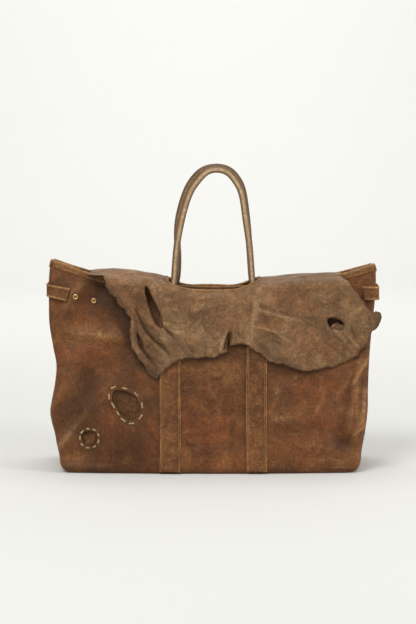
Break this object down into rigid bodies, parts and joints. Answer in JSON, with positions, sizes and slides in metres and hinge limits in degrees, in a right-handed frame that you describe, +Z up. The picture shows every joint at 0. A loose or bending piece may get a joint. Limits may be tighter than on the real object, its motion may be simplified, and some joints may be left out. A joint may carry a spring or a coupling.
{
  "type": "weekender bag",
  "caption": "Brown leather weekender bag with leaning walls, folding end gussets, rolled handles through a slotted hide flap, side straps and sewn patches.",
  "frame": {"origin": "middle of the foot, on the surface that the bag stands on", "axes": "+X to the right seen from the front, along the bag's length; +Y to the back; +Z up; the front panel faces -Y"},
  "size_m": [0.58, 0.1868, 0.5395],
  "materials": {
    "body_leather": "worn, waxed brown hide with a low sheen, darker in the creases",
    "flap_leather": "dry greyish-tan hide, matt, with pale scuffs and a natural edge",
    "strap_leather": "smooth brown hide, edges turned and stitched, lighter on the edges",
    "handle_leather": "rolled tan hide, hand-polished, one stitched seam along it",
    "binding_leather": "folded tan edging with one row of stitches",
    "patch_leather": "dark brown suede side of a hide",
    "handle_filler": "twisted cotton filler cord",
    "board": "pressed fibre stiffening board",
    "brass": "aged yellow metal with a soft polish",
    "cream_thread": "heavy waxed cream thread"
  },
  "bodies": {
    "bag": {"front_panel": "body_leather", "back_panel": "body_leather", "left_gusset": "body_leather", "right_gusset": "body_leather", "base_panel": "body_leather", "base_board": "board", "base_welt": "binding_leather", "front_mouth_binding": "binding_leather", "back_mouth_binding": "binding_leather", "left_gusset_binding": "binding_leather", "right_gusset_binding": "binding_leather", "front_strap_left": "strap_leather", "front_strap_right": "strap_leather", "back_strap_left": "strap_leather", "back_strap_right": "strap_leather", "front_handle_root_left": "handle_leather", "front_handle_root_right": "handle_leather", "rear_handle_root_left": "handle_leather", "rear_handle_root_right": "handle_leather", "flap_anchor": "flap_leather", "flap_top": "flap_leather", "flap_slot_binding": "binding_leather", "left_side_strap": "strap_leather", "right_side_strap": "strap_leather", "left_snap_studs": "brass", "right_snap_studs": "brass", "left_stud_washers": "brass", "right_stud_washers": "brass", "large_patch": "patch_leather", "small_patch": "patch_leather", "large_patch_thread": "cream_thread", "small_patch_thread": "cream_thread"},
    "front_handle": {"front_handle_cover": "handle_leather", "front_handle_core": "handle_filler"},
    "rear_handle": {"rear_handle_cover": "handle_leather", "rear_handle_core": "handle_filler"},
    "flap": {"flap_front": "flap_leather"},
    "left_tip": {"left_strap_tip": "strap_leather", "left_strap_socket": "brass"},
    "right_tip": {"right_strap_tip": "strap_leather", "right_strap_socket": "brass"}
  },
  "joints": [
    {"name": "front_handle_swing", "type": "hinge", "parent": "bag", "child": "front_handle", "pos_m": [0.003, -0.02939, 0.34403], "axis": [1, 0, 0], "range_deg": [0, 80]},
    {"name": "rear_handle_swing", "type": "hinge", "parent": "bag", "child": "rear_handle", "pos_m": [0.003, 0.02939, 0.34403], "axis": [-1, 0, 0], "range_deg": [0, 80]},
    {"name": "flap_lift", "type": "hinge", "parent": "bag", "child": "flap", "pos_m": [0, -0.0534, 0.318], "axis": [-1, 0, 0], "range_deg": [0, 100]},
    {"name": "left_tip_swing", "type": "hinge", "parent": "bag", "child": "left_tip", "pos_m": [-0.286, -0.02845, 0.31766], "axis": [0, -0.2002, -0.9798], "range_deg": [0, 95]},
    {"name": "right_tip_swing", "type": "hinge", "parent": "bag", "child": "right_tip", "pos_m": [0.286, -0.02845, 0.31766], "axis": [0, 0.2002, 0.9798], "range_deg": [0, 95]}
  ]
}
